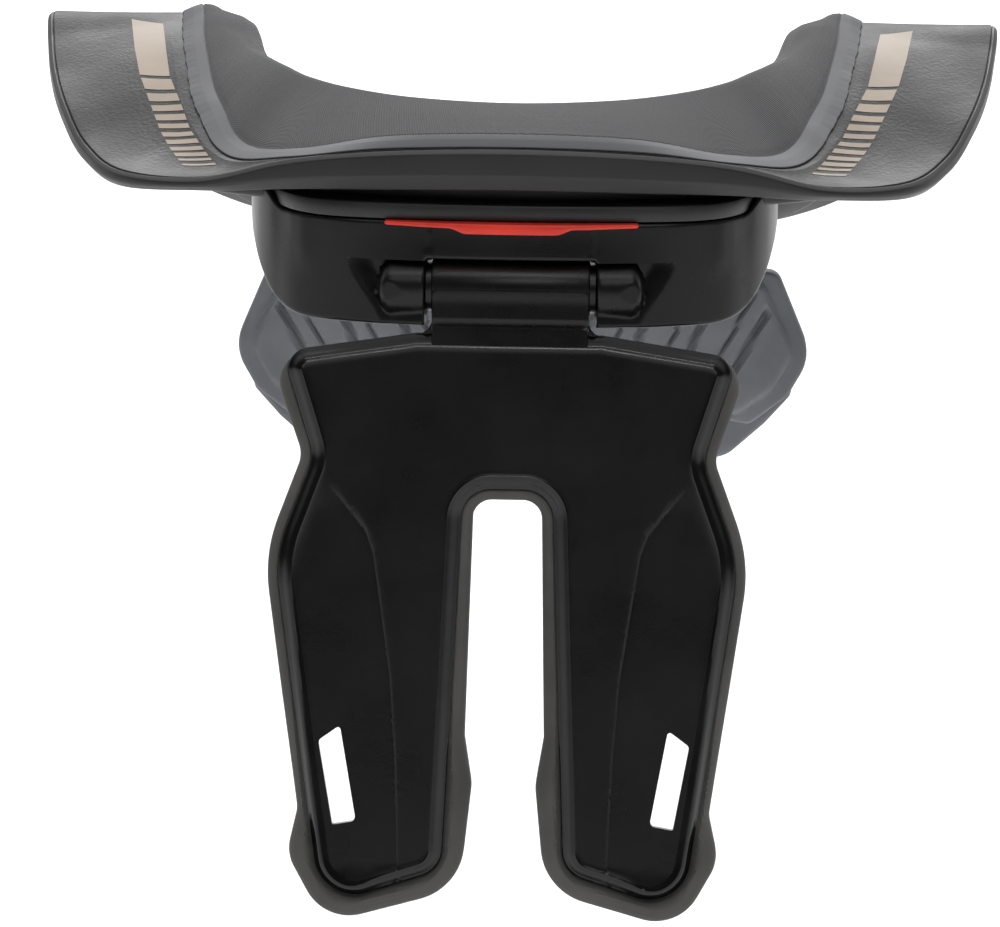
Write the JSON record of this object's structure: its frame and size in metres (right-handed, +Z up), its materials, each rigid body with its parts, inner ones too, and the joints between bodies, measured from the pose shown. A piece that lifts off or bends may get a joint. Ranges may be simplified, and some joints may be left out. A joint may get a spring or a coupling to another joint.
{
  "type": "motocross neck brace",
  "caption": "Rigid neck brace with a padded helmet table, a hinged rear strut with a foam pad, and a ribbed chest pad below the front table.",
  "frame": {"origin": "middle of the neck opening, level with the underside of the shoulder arches", "axes": "+Z up as worn, -Y to the rear, +X to the right in a view from the rear"},
  "size_m": [0.2988, 0.2784, 0.2489],
  "materials": {
    "table_shell": "charcoal plastic with a fine leather grain",
    "collar_fabric": "dark grey woven mesh over foam",
    "chassis_plastic": "satin dark grey moulding",
    "gloss_black": "black moulding with a satin gloss",
    "tab_red": "bright red moulding",
    "pin_steel": "plain steel pin",
    "strut_foam": "warm grey moulded foam",
    "chest_foam": "blue-grey moulded foam with ribs"
  },
  "bodies": {
    "brace": {"rear_table": "table_shell", "rear_collar_pad": "collar_fabric", "rear_chassis": "chassis_plastic", "rear_frame": "gloss_black", "hinge_pin": "pin_steel", "front_table": "table_shell", "front_collar_pad": "collar_fabric", "front_chassis": "chassis_plastic", "chest_liner": "chest_foam", "chest_pad": "chest_foam", "clasp_left": "chassis_plastic", "clasp_right": "chassis_plastic"},
    "strut": {"strut_plate": "gloss_black", "strut_pad": "strut_foam"},
    "tab": {"lock_tab": "tab_red"}
  },
  "joints": [
    {"name": "strut_fold", "type": "hinge", "parent": "brace", "child": "strut", "pos_m": [0, -0.109, -0.0466], "axis": [1, 0, 0], "range_deg": [-8, 75]},
    {"name": "tab_slide", "type": "slide", "parent": "brace", "child": "tab", "axis": [0, -1, 0], "range_m": [0, 0.006]}
  ]
}
